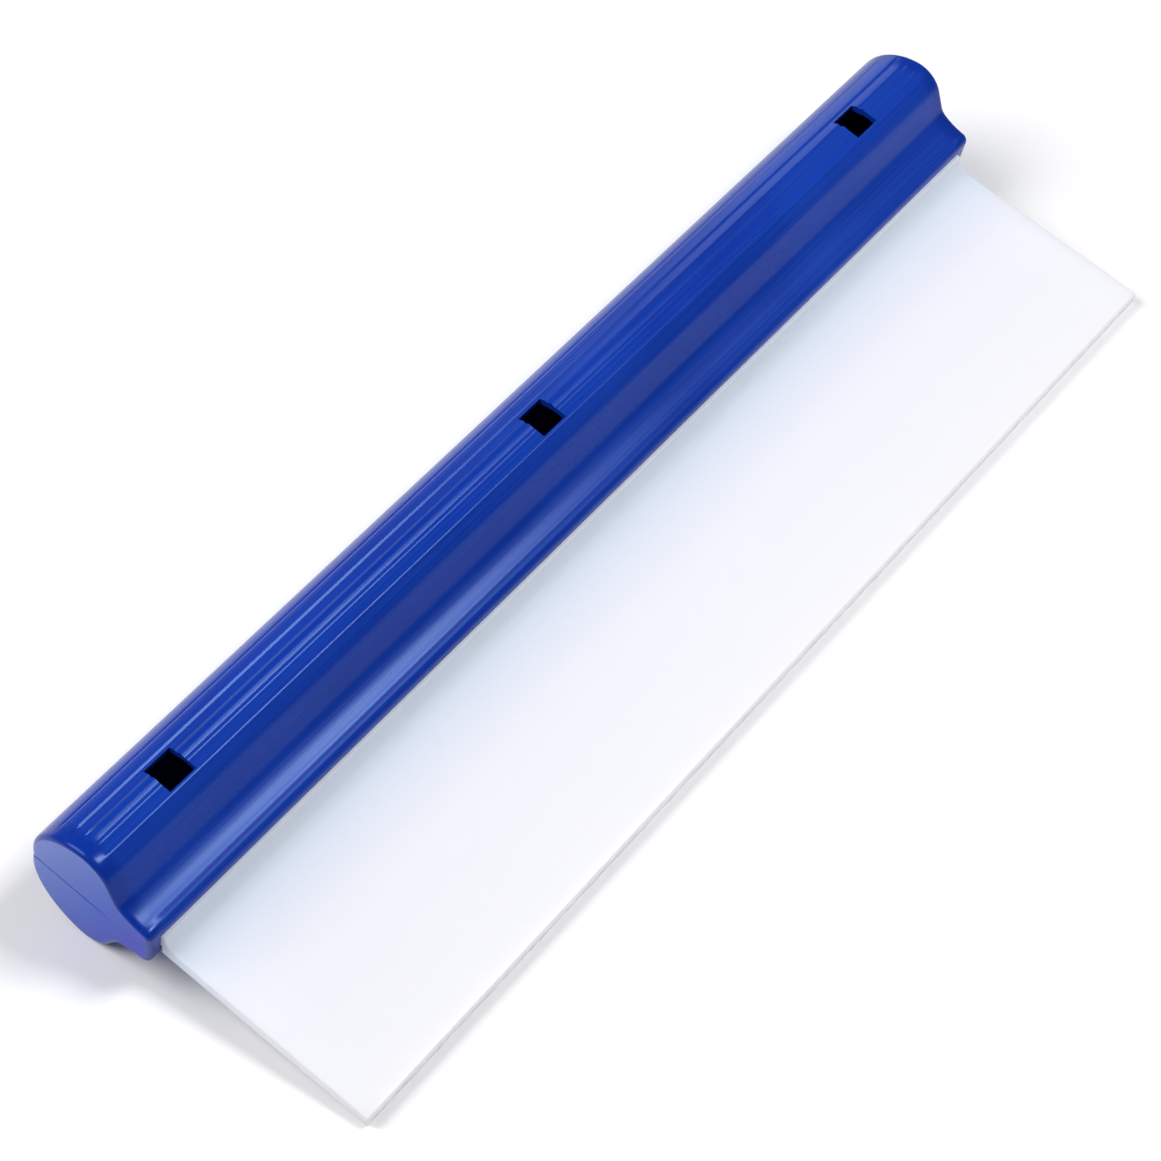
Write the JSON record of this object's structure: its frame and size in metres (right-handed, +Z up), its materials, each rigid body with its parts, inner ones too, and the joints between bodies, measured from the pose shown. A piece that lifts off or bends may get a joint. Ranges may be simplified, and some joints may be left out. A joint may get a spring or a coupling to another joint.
{
  "type": "silicone water-blade squeegee",
  "caption": "Long hand squeegee: a rounded snap-together plastic handle with square latch windows clamps a flexible translucent silicone blade along its length.",
  "frame": {"origin": "on the bench, under the middle of the tool's bounding box, with the grip and the wiping edge both touching the bench", "axes": "+X along the handle, -Y from the handle towards the blade's wiping edge, +Z up from the bench"},
  "size_m": [0.3074, 0.0918, 0.0378],
  "materials": {
    "handle_plastic": "semi-gloss royal blue moulded plastic with fine lengthwise ribs",
    "blade_silicone": "translucent milky silicone, satin"
  },
  "bodies": {
    "handle": {"upper_shell": "handle_plastic", "lower_shell": "handle_plastic", "blade_root": "blade_silicone"},
    "blade": {"blade_plate": "blade_silicone"}
  },
  "joints": [
    {"name": "blade_flex", "type": "hinge", "parent": "handle", "child": "blade", "pos_m": [0, 0.00712, 0.01127], "axis": [1, 0, 0], "range_deg": [-30, 30], "stiffness_Nm_per_rad": 0.3}
  ]
}
